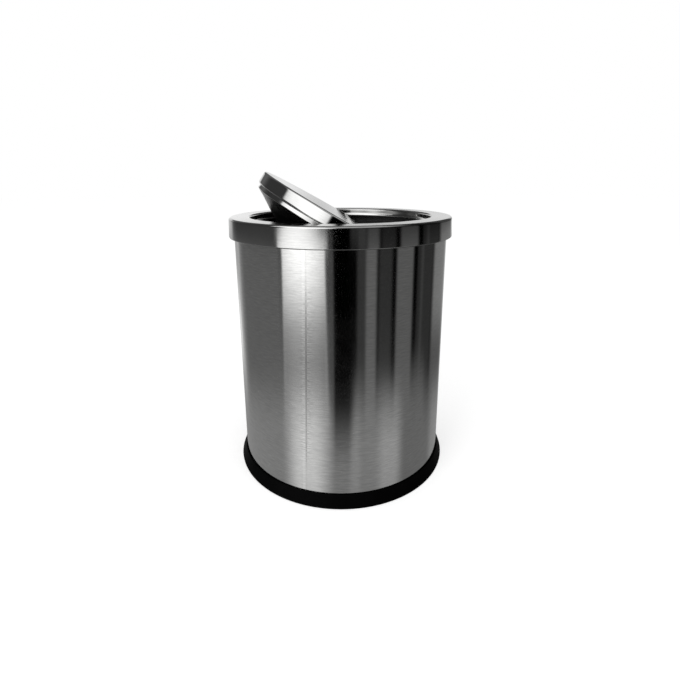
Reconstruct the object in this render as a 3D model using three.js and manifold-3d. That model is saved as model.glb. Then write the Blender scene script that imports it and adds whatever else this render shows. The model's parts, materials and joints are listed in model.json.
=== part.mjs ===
// A round swing-lid waste bin in brushed steel, with a lift-off cap, a two-shell swing lid on
// two pins, a hanging inner bucket and a black moulded base ring.
// Millimetres, +Z up. The origin is the centre of the ring of floor that the bin stands on.
// The lid swings about the Y axis, and is modelled standing open, with its -X side up.

import * as THREE from 'three';
import { mergeVertices } from 'three/addons/utils/BufferGeometryUtils.js';
import Module from 'manifold-3d';

// Sizes of the whole bin
const overallHeight = 280;
const bodyRadius = 115;
const steelSheet = 0.8;
const seatGap = 0.3;
const roundSteps = 52;
const bendSteps = 2;

// Outer body and its bottom panel
const bodyHemRadius = 1.5;
const hemTail = 1.5;
const panelFlange = 8;
const panelBendRadius = 2;
const panelBorder = 18;
const panelRise = 3;

// Base ring
const baseHeight = 13.5;
const baseFlare = 5.9;
const baseLip = 1.2;
const baseWall = 1.8;
const baseFootRadius = 1.2;
const baseWebHeight = 3.2;
const baseWebThickness = 1.8;
const baseInnerWall = 2;
const baseRibCount = 24;
const baseRibThickness = 1.6;
const baseRibLift = 0.6;

// Cap ring
const capSkirt = 20.5;
const capHemRadius = 2.4;
const capBodyClearance = 0.7;
const capSkirtFlare = 0.6;
const capEdgeRadius = 2.5;
const capTopWidth = 22.6;
const collarDepth = 9;
const collarEdgeRadius = 2;
const collarHemRadius = 0.9;

// Swing lid
const lidOpenAngle = 30;
const lidClearance = 1.6;
const lidBandHeight = 12.9;
const lidBandFlare = 0.7;
const lidEdgeRadius = 1.8;
const lidHemRadius = 1.4;
const spigotHeight = 4;
const lowerBandHeight = 4.6;
const lowerBandFlare = 1.2;
const panShoulder = 7;
const panShoulderAngle = 30;
const panWallAngle = 36;
const panDepth = 52;
const panFloorBend = 8;
const panBeadRadius = 12;
const panBeadHeight = 1.5;

// Lid pivots
const pivotDepth = 4.8;
const pinRadius = 1.5;
const pinHeadRadius = 3;
const pinHeadHeight = 1.8;
const pinTail = 1.2;
const pinRunningGap = 0.3;
const bushWall = 0.9;
const bushFlangeRadius = 3.6;
const washerRadius = 3;
const washerThickness = 0.5;
const nutRadius = 3.1;
const nutHeight = 2.2;
const smallSteps = 16;

// Inner bucket
const bucketWall = 1.6;
const bucketRimBend = 1.6;
const bucketNeckHeight = 16.5;
const bucketStep = 7;
const bucketStepHeight = 4;
const bucketDraft = 1.8;
const bucketFloorGap = 4;
const bucketFloorBend = 8;
const handHoleWidth = 70;
const handHoleHeight = 20;
const handHoleDrop = 12;

// Levels and radii that follow from the sizes above
const capUnderside = overallHeight - steelSheet;
const bucketTop = capUnderside - seatGap;
const bodyTop = bucketTop - bucketWall - seatGap;
const bodyInnerRadius = bodyRadius - steelSheet;
const hemInnerRadius = bodyRadius - 2 * bodyHemRadius;
const capHemOuter = bodyRadius + capBodyClearance + 2 * capHemRadius;
const capRadius = capHemOuter - capSkirtFlare;
const openingRadius = capRadius - capTopWidth;
const pivotHeight = overallHeight - pivotDepth;
const lidRadius = openingRadius - lidClearance;
const baseChannelFloor = baseWebHeight + baseWebThickness;
const bodyBottom = baseChannelFloor + seatGap;
const panelTop = bodyBottom + panelFlange;

const wasm = await Module();
wasm.setup();

const degrees = Math.PI / 180;

// ---- outlines, as lists of [radius, height] ----

// Points on a round stretch of an outline, from one angle to another
function arc(centreRadius, centreHeight, radius, fromDegrees, toDegrees, steps = bendSteps) {
  const points = [];
  for (let i = 0; i <= steps; i += 1) {
    const angle = (fromDegrees + (toDegrees - fromDegrees) * (i / steps)) * degrees;
    const across = centreRadius + radius * Math.cos(angle);
    const up = centreHeight + radius * Math.sin(angle);
    points.push([Math.max(across, 0), up]);
  }
  return points;
}

// A bent sheet's outline. The path runs over the outside face and the sheet lies on its right.
function sheetOutline(path, thickness) {
  const back = path.map((point, i) => {
    const before = path[Math.max(i - 1, 0)];
    const after = path[Math.min(i + 1, path.length - 1)];
    const arriving = i > 0 ? unitNormal(before, point) : unitNormal(point, after);
    const leaving = i < path.length - 1 ? unitNormal(point, after) : arriving;
    const sum = [arriving[0] + leaving[0], arriving[1] + leaving[1]];
    const scale = (2 * thickness) / (sum[0] ** 2 + sum[1] ** 2);
    return [Math.max(point[0] + sum[0] * scale, 0), point[1] + sum[1] * scale];
  });
  return [...path, ...back.reverse()];
}

// The unit vector to the right of the way from one point to the next
function unitNormal(from, to) {
  const across = to[0] - from[0];
  const up = to[1] - from[1];
  const length = Math.hypot(across, up);
  return [up / length, -across / length];
}

// Twice the outline's area, positive when it runs anticlockwise
function turnOf(outline) {
  let sum = 0;
  outline.forEach(([r0, z0], i) => {
    const [r1, z1] = outline[(i + 1) % outline.length];
    sum += r0 * z1 - r1 * z0;
  });
  return sum;
}

// An outline turned once round the Z axis, with edges facing along X and Y
function revolve(outline, steps = roundSteps) {
  const turned = turnOf(outline) > 0 ? outline : [...outline].reverse();
  const firstOnAxis = turned.findIndex(([r], i) => {
    const next = turned[(i + 1) % turned.length];
    return r === 0 && next[0] > 0;
  });
  const start = Math.max(firstOnAxis, 0);
  const ordered = [...turned.slice(start), ...turned.slice(0, start)];
  const closed = firstOnAxis < 0 ? [...ordered, ordered[0]] : ordered;
  const points = closed.map(([r, z]) => new THREE.Vector2(r, z));
  const geometry = new THREE.LatheGeometry(points, steps);
  geometry.rotateX(Math.PI / 2);
  return geometry;
}

// ---- solids ----

// A closed geometry as a solid that can be cut and joined
function toSolid(geometry) {
  const bare = geometry.index ? geometry.toNonIndexed() : geometry.clone();
  bare.deleteAttribute('normal');
  bare.deleteAttribute('uv');
  const merged = mergeVertices(bare, 1e-4);
  const index = merged.index.array;
  const triangles = [];
  for (let i = 0; i < index.length; i += 3) {
    const [a, b, c] = [index[i], index[i + 1], index[i + 2]];
    if (a !== b && b !== c && c !== a) triangles.push(a, b, c);
  }
  return new wasm.Manifold(new wasm.Mesh({
    numProp: 3,
    vertProperties: new Float32Array(merged.attributes.position.array),
    triVerts: new Uint32Array(triangles),
  }));
}

// A solid as a three.js geometry
function toGeometry(solid) {
  const mesh = solid.getMesh();
  const geometry = new THREE.BufferGeometry();
  geometry.setAttribute('position', new THREE.BufferAttribute(mesh.vertProperties, 3));
  geometry.setIndex(new THREE.BufferAttribute(mesh.triVerts, 1));
  geometry.computeVertexNormals();
  return geometry;
}

// A rod along Y, from one place on the axis to another, at a height
function rodAlongY(radius, from, to, height = 0, steps = smallSteps) {
  const rod = new THREE.CylinderGeometry(radius, radius, Math.abs(to - from), steps);
  rod.translate(0, (from + to) / 2, height);
  return rod;
}

// ---- materials ----

function finish(color, roughness, metalness) {
  return new THREE.MeshStandardMaterial({ color, roughness, metalness, flatShading: true });
}

const brushedSteel = finish(0xb9bbbd, 0.32, 1);
const sheetSteel = finish(0x9da0a3, 0.45, 1);
const boltSteel = finish(0xc9cacc, 0.25, 1);
const blackGloss = finish(0x0b0b0c, 0.28, 0);
const blackMatt = finish(0x151516, 0.55, 0);
const nylon = finish(0x2a2a2b, 0.5, 0);

function piece(name, geometry, material) {
  const mesh = new THREE.Mesh(geometry, material);
  mesh.name = name;
  return mesh;
}

// ---- body ----

// The sheet cylinder, with its top edge rolled inwards into a hollow bead
function outerBody() {
  const hemHeight = bodyTop - bodyHemRadius;
  const path = [
    [hemInnerRadius, hemHeight - hemTail],
    ...arc(bodyRadius - bodyHemRadius, hemHeight, bodyHemRadius, 180, 0, 2 * bendSteps),
    [bodyRadius, bodyBottom],
  ];
  return piece('outer_body', revolve(sheetOutline(path, steelSheet)), brushedSteel);
}

// The pressed bottom: a flange inside the body's foot, a flat border and a raised middle
function bottomPanel() {
  const flangeRadius = bodyInnerRadius - seatGap;
  const borderStart = flangeRadius - panelBorder;
  const path = [
    [0, panelTop + panelRise],
    [borderStart - panelRise, panelTop + panelRise],
    [borderStart, panelTop],
    ...arc(flangeRadius - panelBendRadius, panelTop - panelBendRadius, panelBendRadius, 90, 0),
    [flangeRadius, bodyBottom],
  ];
  return piece('bottom_panel', revolve(sheetOutline(path, steelSheet)), sheetSteel);
}

// The moulded ring: a flared skirt, an inner wall and a web between them that forms the
// channel for the body's lower edge, with radial ribs in the pocket under the web
function baseRing() {
  const footRadius = bodyRadius + baseFlare;
  const lipInner = bodyRadius + seatGap;
  const skirtInner = footRadius - baseWall;
  const channelInner = bodyInnerRadius - seatGap - steelSheet - seatGap;
  const ringInner = channelInner - baseInnerWall;
  const innerTop = panelTop - steelSheet - seatGap;
  const outline = [
    [ringInner, 0],
    [channelInner, 0],
    [channelInner, baseWebHeight],
    [skirtInner, baseWebHeight],
    [skirtInner, 0],
    ...arc(footRadius - baseFootRadius, baseFootRadius, baseFootRadius, -90, 0),
    [lipInner + baseLip, baseHeight - baseLip / 2],
    [lipInner + baseLip / 2, baseHeight],
    [lipInner, baseHeight - baseLip / 2],
    [lipInner, baseChannelFloor],
    [channelInner, baseChannelFloor],
    [channelInner, innerTop - baseInnerWall / 2],
    [channelInner - baseInnerWall / 2, innerTop],
    [ringInner, innerTop],
  ];
  let solid = toSolid(revolve(outline));
  const ribBite = baseInnerWall / 4;
  const ribLength = skirtInner - channelInner + 2 * ribBite;
  const ribHeight = baseWebHeight + ribBite - baseRibLift;
  for (let i = 0; i < baseRibCount; i += 1) {
    const rib = new THREE.BoxGeometry(ribLength, baseRibThickness, ribHeight);
    rib.translate((skirtInner + channelInner) / 2, 0, baseRibLift + ribHeight / 2);
    rib.rotateZ(((i + 0.5) / baseRibCount) * 2 * Math.PI);
    solid = solid.add(toSolid(rib));
  }
  return piece('base_ring', toGeometry(solid), blackGloss);
}

// ---- inner bucket ----

// The bucket hangs by its rim on the body's hem. A neck fits inside the hem, and below it a
// step leaves room for fingertips behind the two hand holes.
function innerBucket() {
  const neckRadius = hemInnerRadius - seatGap - bucketWall;
  const wallTopRadius = neckRadius - bucketStep;
  const neckBottom = bucketTop - bucketNeckHeight;
  const wallTop = neckBottom - bucketStepHeight;
  const floorTop = panelTop + panelRise + bucketFloorGap + bucketWall;
  const wallHeight = wallTop - floorTop;
  const floorRadius = wallTopRadius - wallHeight * Math.tan(bucketDraft * degrees);
  const path = [
    [0, floorTop],
    ...arc(floorRadius - bucketFloorBend, floorTop + bucketFloorBend, bucketFloorBend, -90, 0),
    [wallTopRadius, wallTop],
    [neckRadius, neckBottom],
    [neckRadius, bucketTop - bucketRimBend],
    [neckRadius + bucketRimBend, bucketTop],
    [bodyRadius, bucketTop],
  ];
  const shell = toSolid(revolve(sheetOutline(path, bucketWall)));
  const holeCentre = wallTop - handHoleDrop - handHoleHeight / 2;
  const solid = shell.subtract(toSolid(handHoles(2 * bodyRadius, holeCentre)));
  return piece('inner_bucket', toGeometry(solid), blackMatt);
}

// A round-ended slot, run right through the bucket along X
function handHoles(length, centreHeight) {
  const endRadius = handHoleHeight / 2;
  const straight = handHoleWidth / 2 - endRadius;
  const slot = new THREE.Shape();
  slot.absarc(straight, 0, endRadius, -Math.PI / 2, Math.PI / 2, false);
  slot.absarc(-straight, 0, endRadius, Math.PI / 2, (3 * Math.PI) / 2, false);
  const options = { depth: length, bevelEnabled: false, curveSegments: 2 * bendSteps };
  const geometry = new THREE.ExtrudeGeometry(slot, options);
  geometry.translate(0, 0, -length / 2);
  geometry.rotateX(Math.PI / 2);
  geometry.rotateZ(Math.PI / 2);
  geometry.translate(0, 0, centreHeight);
  return geometry;
}

// ---- cap ----

// The pressed cap: a collar turned down into the bin, a flat top, and a slightly flared skirt
// whose lower edge is rolled in until it just clears the body
function capRing() {
  const collarBottom = overallHeight - collarDepth;
  const skirtBottom = overallHeight - capSkirt;
  const collarBend = openingRadius + collarEdgeRadius;
  const edgeCentre = capRadius - capEdgeRadius;
  const path = [
    ...arc(openingRadius + collarHemRadius, collarBottom + collarHemRadius, collarHemRadius, 330, 180),
    ...arc(collarBend, overallHeight - collarEdgeRadius, collarEdgeRadius, 180, 90),
    ...arc(edgeCentre, overallHeight - capEdgeRadius, capEdgeRadius, 90, 0, bendSteps + 1),
    ...arc(capHemOuter - capHemRadius, skirtBottom + capHemRadius, capHemRadius, 0, -180, 2 * bendSteps),
    [capHemOuter - 2 * capHemRadius, skirtBottom + capHemRadius + hemTail],
  ];
  let solid = toSolid(revolve(sheetOutline(path, steelSheet)));
  const holeRadius = pinRadius + pinRunningGap + bushWall + seatGap;
  const bore = rodAlongY(holeRadius, -openingRadius - capTopWidth / 4, openingRadius + capTopWidth / 4);
  bore.translate(0, 0, pivotHeight);
  const core = rodAlongY(2 * holeRadius, -openingRadius + lidClearance, openingRadius - lidClearance);
  core.translate(0, 0, pivotHeight);
  solid = solid.subtract(toSolid(bore).subtract(toSolid(core)));
  return piece('cap_ring', toGeometry(solid), brushedSteel);
}

// Where the pieces of a pivot lie along the axis, measured out from the middle of the bin
function pivotStations() {
  const flat = Math.cos(Math.PI / roundSteps);
  const lidFace = lidRadius;
  const collarFace = openingRadius * flat;
  const bushInner = lidFace + seatGap;
  const flangeOuter = collarFace - seatGap;
  const bushOuter = openingRadius + 2 * collarHemRadius + seatGap;
  const bandInner = (lidRadius - lidBandFlare - steelSheet) * flat - seatGap;
  const washerInner = bandInner - washerThickness;
  const nutInner = washerInner - seatGap - nutHeight;
  return { bushInner, flangeOuter, bushOuter, bandInner, washerInner, nutInner };
}

// A flanged bush in the collar. Its flange keeps the lid central in the opening.
function pivotBush(name, side) {
  const at = pivotStations();
  const sleeveRadius = pinRadius + pinRunningGap + bushWall;
  const sleeve = toSolid(rodAlongY(sleeveRadius, side * at.bushInner, side * at.bushOuter));
  const flange = toSolid(rodAlongY(bushFlangeRadius, side * at.bushInner, side * at.flangeOuter));
  const bore = toSolid(rodAlongY(pinRadius + pinRunningGap, 0, side * (at.bushOuter + bushWall)));
  const mesh = piece(name, toGeometry(sleeve.add(flange).subtract(bore)), nylon);
  mesh.position.z = pivotHeight;
  return mesh;
}

// ---- swing lid, modelled level about its own pivot axis and turned open as one group ----

// The upper shell: a flat top and a deep band, with the band's edge rolled in underneath
function lidTopShell() {
  const top = pivotDepth;
  const hemHeight = top - lidBandHeight + lidHemRadius;
  const edgeRadius = lidRadius - lidBandFlare;
  const path = [
    [0, top],
    ...arc(edgeRadius - lidEdgeRadius, top - lidEdgeRadius, lidEdgeRadius, 90, 0),
    ...arc(lidRadius - lidHemRadius, hemHeight, lidHemRadius, 0, -180, 2 * bendSteps),
  ];
  const shell = toSolid(revolve(sheetOutline(path, steelSheet)));
  const holeRadius = pinRadius + pinRunningGap;
  const solid = shell.subtract(toSolid(rodAlongY(holeRadius, -openingRadius, openingRadius)));
  return piece('lid_top_shell', toGeometry(solid), brushedSteel);
}

// The lower shell: a spigot inside the upper shell's hem, a thin band, and a deep pan whose
// weight under the pins swings the lid level again
function lidBottomShell() {
  const spigotRadius = lidRadius - 2 * lidHemRadius - seatGap;
  const seamHeight = pivotDepth - lidBandHeight;
  const bandBottom = seamHeight - lowerBandHeight;
  const bandRadius = spigotRadius + lowerBandFlare;
  const shoulderRadius = bandRadius - panShoulder;
  const shoulderHeight = bandBottom - panShoulder * Math.tan(panShoulderAngle * degrees);
  const floorHeight = pivotDepth - panDepth;
  const wallDrop = shoulderHeight - floorHeight;
  const floorRadius = shoulderRadius - wallDrop / Math.tan(panWallAngle * degrees);
  const bendReach = panFloorBend * Math.tan((panWallAngle / 2) * degrees);
  const bendCentre = floorRadius - bendReach;
  const path = [
    [spigotRadius, seamHeight + spigotHeight],
    [spigotRadius, seamHeight],
    [bandRadius, bandBottom],
    [shoulderRadius, shoulderHeight],
    ...arc(bendCentre, floorHeight + panFloorBend, panFloorBend, panWallAngle - 90, -90),
    [panBeadRadius + panBeadHeight, floorHeight],
    [panBeadRadius, floorHeight + panBeadHeight],
    [0, floorHeight + panBeadHeight],
  ];
  return piece('lid_bottom_shell', revolve(sheetOutline(path, steelSheet)), brushedSteel);
}

// The headed pin: its head lies behind the collar and its shank ends inside the lid
function pivotPin(name, side) {
  const at = pivotStations();
  const headInner = at.bushOuter + seatGap;
  const head = toSolid(rodAlongY(pinHeadRadius, side * headInner, side * (headInner + pinHeadHeight)));
  const shankEnd = at.nutInner - pinTail;
  const shank = toSolid(rodAlongY(pinRadius, side * shankEnd, side * (headInner + pinHeadHeight / 2)));
  return piece(name, toGeometry(head.add(shank)), boltSteel);
}

// A flat washer inside the band
function pivotWasher(name, side) {
  const at = pivotStations();
  const disc = toSolid(rodAlongY(washerRadius, side * at.washerInner, side * at.bandInner));
  const bore = toSolid(rodAlongY(pinRadius + seatGap, 0, side * openingRadius));
  return piece(name, toGeometry(disc.subtract(bore)), boltSteel);
}

// The hexagon nut that holds the pin in the band
function pivotNut(name, side) {
  const at = pivotStations();
  const hexagon = rodAlongY(nutRadius, side * at.nutInner, side * (at.nutInner + nutHeight), 0, 6);
  const bore = rodAlongY(pinRadius + seatGap, 0, side * openingRadius);
  return piece(name, toGeometry(toSolid(hexagon).subtract(toSolid(bore))), boltSteel);
}

// ---- the bin ----

const bin = new THREE.Group();
bin.add(outerBody(), bottomPanel(), baseRing(), innerBucket(), capRing());

const lid = new THREE.Group();
lid.position.z = pivotHeight;
lid.rotation.y = lidOpenAngle * degrees;
lid.add(lidTopShell(), lidBottomShell());

for (const [place, side] of [['front', -1], ['rear', 1]]) {
  bin.add(pivotBush(`${place}_pivot_bush`, side));
  lid.add(pivotPin(`${place}_pivot_pin`, side));
  lid.add(pivotWasher(`${place}_pivot_washer`, side));
  lid.add(pivotNut(`${place}_pivot_nut`, side));
}
bin.add(lid);

export default bin;
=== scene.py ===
# %% [markdown]
# # A round swing-lid waste bin in brushed steel
#
# The bin is a sheet cylinder standing in a black moulded ring. A pressed cap rests on the rim of
# a black inner bucket, and a round two-shell lid swings in the cap on two pins. The real bin is
# almost all revolved sheet metal, so almost every piece here is one outline turned round an
# axis. The skill is in the finish: brushed steel looks like steel only when its grain, its
# stretched highlights and the studio that it mirrors all work together.

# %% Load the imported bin, the fixed frame that every piece is fitted to
import json
import math
import bmesh
import bpy
import numpy as np
from mathutils import Euler, Matrix, Vector


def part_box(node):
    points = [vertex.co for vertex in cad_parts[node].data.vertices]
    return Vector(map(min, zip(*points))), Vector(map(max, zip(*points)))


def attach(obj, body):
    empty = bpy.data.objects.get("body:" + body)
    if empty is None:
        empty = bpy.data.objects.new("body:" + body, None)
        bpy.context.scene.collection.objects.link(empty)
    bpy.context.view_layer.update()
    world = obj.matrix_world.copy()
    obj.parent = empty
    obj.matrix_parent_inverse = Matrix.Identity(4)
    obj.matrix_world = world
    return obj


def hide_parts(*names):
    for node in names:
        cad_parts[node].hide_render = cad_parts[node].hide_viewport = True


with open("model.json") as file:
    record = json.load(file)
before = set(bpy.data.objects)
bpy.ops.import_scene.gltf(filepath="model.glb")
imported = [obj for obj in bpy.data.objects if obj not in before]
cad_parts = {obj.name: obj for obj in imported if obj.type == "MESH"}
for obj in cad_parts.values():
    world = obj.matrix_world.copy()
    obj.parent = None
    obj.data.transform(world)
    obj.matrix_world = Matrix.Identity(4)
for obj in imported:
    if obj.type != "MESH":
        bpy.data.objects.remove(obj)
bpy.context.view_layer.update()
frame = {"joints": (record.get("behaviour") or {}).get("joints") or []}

# %% [markdown]
# ## Sizes
#
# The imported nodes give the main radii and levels, so nothing has to be fitted by eye. The sizes
# that a box can't give, such as the radius of a rolled edge, are written once, in metres, where
# the piece that needs them is made.

# %% Levels and radii from the frame
MM = 0.001
body_low, body_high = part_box("outer_body")
cap_low, cap_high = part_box("cap_ring")
_, base_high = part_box("base_ring")
bucket_low, bucket_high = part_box("inner_bucket")
panel_low, panel_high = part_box("bottom_panel")
BODY_RADIUS = body_high.x
CAP_FOOT_RADIUS = cap_high.x
CAP_TOP = cap_high.z
BUCKET_TOP = bucket_high.z
BASE_TOP = base_high.z
swing = next(joint for joint in frame["joints"] if joint["name"] == "lid_swing")
PIVOT_HEIGHT = swing["pos_m"][2]
print("body radius", round(BODY_RADIUS, 4), "cap top", round(CAP_TOP, 4), "pivots at", PIVOT_HEIGHT)

# %% Sizes that every piece shares
SHEET = 0.8 * MM
SEAT_GAP = 0.3 * MM  # left wherever two pieces seat on each other
BACK = math.pi / 2  # the angle of the side away from the camera, where a map starts and ends
WALL_COLUMNS = 288
LID_COLUMNS = 256

# %% [markdown]
# ## The camera
#
# The photograph was taken from about half a metre, a little to the left of the bin and above it,
# looking down by 14 degrees. The lens axis passes above the middle of the picture, so the camera
# is shifted slightly instead of tipped, which keeps the bin's sides at the right slant.

# %% Camera
PICTURE = 680
FOCAL_PIXELS = 436.5
AXIS_ROW = 288.1
SENSOR = 36
CAMERA_PLACE = (-0.0312, -0.4856, 0.3195)
CAMERA_DOWN = math.radians(14.2)
CAMERA_HEADING = math.radians(3.58)
CAMERA_ROLL = math.radians(-0.33)


def add_object(name, data):
    """A new object that holds the data, linked to the scene."""
    thing = bpy.data.objects.new(name, data)
    bpy.context.scene.collection.objects.link(thing)
    return thing


camera = add_object("camera", bpy.data.cameras.new("camera"))
camera.data.sensor_width = SENSOR
camera.data.lens = SENSOR * FOCAL_PIXELS / PICTURE
camera.data.shift_y = (AXIS_ROW - PICTURE / 2) / PICTURE
camera.location = CAMERA_PLACE
looking = Euler((math.pi / 2 - CAMERA_DOWN, 0, -CAMERA_HEADING)).to_matrix()
camera.rotation_euler = (looking @ Matrix.Rotation(CAMERA_ROLL, 3, "Z")).to_euler()
bpy.context.scene.camera = camera
bpy.context.scene.view_settings.view_transform = "Standard"
print("lens", round(camera.data.lens, 2), "mm, shift", round(camera.data.shift_y, 4))

# %% [markdown]
# ## Outlines
#
# A pressed sheet is drawn as one path over its outside face, made of straight runs and arcs. The
# other face is the same path moved sideways by the sheet's thickness, and a small half round
# joins the two at each end, as on a deburred edge. Extra points close to each bend keep the
# smooth shading of the bend from spreading over the flat beside it.

# %% Helpers that draw outlines
END_TURNS = np.radians(np.linspace(30, 150, 5))[:, None]
SUPPORT_REACH = 0.25 * MM
MERGE_DISTANCE = 1e-7


def arc(centre_r, centre_z, radius, start, end, steps=8):
    """Points at centre + radius * (cos, sin) of angles that go evenly from start to end, in degrees."""
    turn = np.radians(np.linspace(start, end, steps + 1))
    return np.column_stack([centre_r + radius * np.cos(turn), centre_z + radius * np.sin(turn)])


def straight(start, end, steps=1):
    """Points that go evenly from start to end, both included."""
    return np.linspace(start, end, steps + 1)


def outline_of(*parts):
    """The parts one after another, with repeated points dropped."""
    points = np.vstack([np.atleast_2d(part) for part in parts])
    moved = np.linalg.norm(np.diff(points, axis=0), axis=1) > MERGE_DISTANCE
    return points[np.concatenate([[True], moved])]


def support(points, reach=SUPPORT_REACH, closed=False):
    """Adds a point at the distance reach from both ends of each side longer than three reaches."""
    ends = np.vstack([points, points[:1]]) if closed else points
    sides = np.diff(ends, axis=0)
    length = np.linalg.norm(sides, axis=1, keepdims=True)
    step = sides / length * reach
    long = length[:, 0] > 3 * reach
    stacked = np.stack([ends[:-1], ends[:-1] + step, ends[1:] - step], axis=1)
    keep = np.stack([np.ones_like(long), long, long], axis=1)
    kept = stacked[keep]
    return kept if closed else np.vstack([kept, points[-1:]])


def right_normals(points):
    """At each point, the direction that lies between the right-hand normals of its two sides.

    It is as long as it must be for a move by it to shift both sides by 1: 2 s / |s|^2, where s is the
    sum of the two unit normals.
    """
    sides = np.diff(points, axis=0)
    unit = sides / np.linalg.norm(sides, axis=1, keepdims=True)
    right = np.column_stack([unit[:, 1], -unit[:, 0]])
    before = np.vstack([right[:1], right])
    after = np.vstack([right, right[-1:]])
    total = before + after
    return 2 * total / np.sum(total**2, axis=1, keepdims=True)


def sheet_outline(path, thickness=SHEET):
    """A closed outline: the path, a half round at its end, and the path moved by thickness to its
    right and run backwards, with another half round. A start on the axis stays square.
    """
    normals = right_normals(path)
    back = path + normals * thickness
    back[:, 0] = np.maximum(back[:, 0], 0)

    def half_round(index, sign):
        middle = (path[index] + back[index]) / 2
        across = (path[index] - back[index]) / 2
        along = sign * np.array([-across[1], across[0]])
        return middle + np.cos(END_TURNS) * across + np.sin(END_TURNS) * along

    end = half_round(-1, -1)
    if path[0, 0] == 0:
        return support(outline_of(path, end, back[::-1]))
    start = half_round(0, 1)[::-1]
    return support(outline_of(path, end, back[::-1], start), closed=True)


# %% [markdown]
# ## From outline to mesh
#
# An outline turned round the Z axis is a grid of two parameters: the turn and the distance along
# the outline. Each corner of each face also stores two things for the finish: a UV map whose U
# runs along the brushing, which steers the stretched highlights, and a "grain" place in metres,
# which the brushed pattern reads. The grain place joins up all the way round, so no seam shows.

# %% Helpers that turn outlines into meshes
def ring(columns, start=0.0):
    """Angles that go evenly once round from start."""
    return start + np.linspace(0, 2 * math.pi, columns, endpoint=False)


def revolve(outline, angles, closed=True):
    """A surface of revolution: point (r, z) of the outline at angle a lies at (r cos a, r sin a, z).

    Gives points, faces and, for each face corner, its angle, radius and distance along the outline.
    """
    rows, columns = len(outline), len(angles)
    radius, height = outline[:, :1], outline[:, 1:]
    x = radius * np.cos(angles)
    y = radius * np.sin(angles)
    points = np.stack([x, y, np.broadcast_to(height, x.shape)], axis=2).reshape(-1, 3)
    last = rows if closed else rows - 1
    i, j = np.meshgrid(np.arange(last), np.arange(columns), indexing="ij")
    i, j = i.ravel(), j.ravel()
    corner_i = np.stack([i, i + 1, i + 1, i], axis=1)
    corner_j = np.stack([j, j, j + 1, j + 1], axis=1)
    faces = (corner_i % rows) * columns + corner_j % columns
    steps = np.linalg.norm(np.diff(np.vstack([outline, outline[:1]]), axis=0), axis=1)
    along = np.concatenate([[0], np.cumsum(steps)])[corner_i]
    around = np.append(angles, angles[0] + 2 * math.pi)[corner_j]
    return points, faces, around, radius[corner_i % rows, 0], along


def around_maps(around, radius, along):
    """Grain that runs round the axis: U is the arc length, and V the distance along the outline.

    The grain place is the point on the ring, with that distance as its third number.
    """
    uv = np.stack([around * radius.max(), along], axis=2)
    grain = np.stack([radius * np.cos(around), radius * np.sin(around), along], axis=2)
    return uv, grain


def straight_maps(around, radius, along):
    """Grain that runs straight along X over a flat face."""
    x, y = radius * np.cos(around), radius * np.sin(around)
    return np.stack([x, y], axis=2), np.stack([x, 0 * x, y], axis=2)


def make_piece(name, points, faces, uv, grain):
    """A smooth-shaded mesh object at the origin, with its UV map and its grain attribute.

    Points that coincide, as at a pole, are merged.
    """
    mesh = bpy.data.meshes.new(name)
    mesh.from_pydata(points, [], faces.tolist())
    mesh.polygons.foreach_set("use_smooth", np.ones(len(faces), bool))
    mesh.uv_layers.new(name="brushing").uv.foreach_set("vector", uv.astype(np.float32).ravel())
    place = mesh.attributes.new("grain", "FLOAT_VECTOR", "CORNER")
    place.data.foreach_set("vector", grain.astype(np.float32).ravel())
    tidy = bmesh.new()
    tidy.from_mesh(mesh)
    bmesh.ops.remove_doubles(tidy, verts=tidy.verts, dist=MERGE_DISTANCE)
    tidy.to_mesh(mesh)
    tidy.free()
    mesh.validate()
    print(f"{name}: {len(mesh.polygons)} faces")
    return add_object(name, mesh)


def place_piece(piece, body, node, material):
    """The piece rides on its body, stands for its CAD node and takes its finish."""
    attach(piece, body)
    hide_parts(node)
    piece.data.materials.clear()
    piece.data.materials.append(material)


def move_points(piece, move):
    """The piece, with its mesh's points, as rows x, y, z, replaced by what move gives for them."""
    points = np.empty(len(piece.data.vertices) * 3)
    piece.data.vertices.foreach_get("co", points)
    piece.data.vertices.foreach_set("co", move(points.reshape(-1, 3)).ravel())
    piece.data.update()
    return piece


def paint_shade_below(piece, level):
    """Faces below the level take the dark finish as a second one: rougher unpolished sheet, painted shade in
    colour.
    """
    centres = np.empty(len(piece.data.polygons) * 3)
    piece.data.polygons.foreach_get("center", centres)
    piece.data.materials.append(dull_shaded_steel)
    piece.data.polygons.foreach_set("material_index", (centres[2::3] < level).astype(np.int32))


def turned_piece(name, outline, columns, start=0.0, closed=True):
    """An outline turned round the Z axis, with the grain round the axis."""
    points, faces, around, radius, along = revolve(outline, ring(columns, start), closed)
    return make_piece(name, points, faces, *around_maps(around, radius, along))


# %% [markdown]
# ## Brushed steel
#
# Brushing leaves fine parallel scratches. Each scratch is a tiny groove, so light spreads across
# the scratches and hardly along them: a lamp shows as a streak at right angles to the grain. The
# shader does that with anisotropy. The scratches themselves are noise that is stretched along the
# grain. They come in two sizes, hair lines and broader bands, and change colour, roughness and
# height a little. More than one finish needs them, so they are one node group.

# %% Helpers for node trees
def add_node(tree, kind, **settings):
    """A new node, with inputs set by name and other settings as attributes."""
    node = tree.nodes.new(kind)
    for name, value in settings.items():
        if name in node.inputs:
            node.inputs[name].default_value = value
        else:
            setattr(node, name, value)
    return node


def maths(tree, operation, first, second=None):
    """A Math node. Its inputs are sockets or numbers, and it gives its output socket."""
    node = add_node(tree, "ShaderNodeMath", operation=operation)
    for index, value in enumerate((first, second)):
        if value is None:
            continue
        if isinstance(value, (int, float)):
            node.inputs[index].default_value = value
        else:
            tree.links.new(value, node.inputs[index])
    return node.outputs[0]


def plus(tree, first, second):
    """The sum of two sockets or numbers."""
    return maths(tree, "ADD", first, second)


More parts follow.
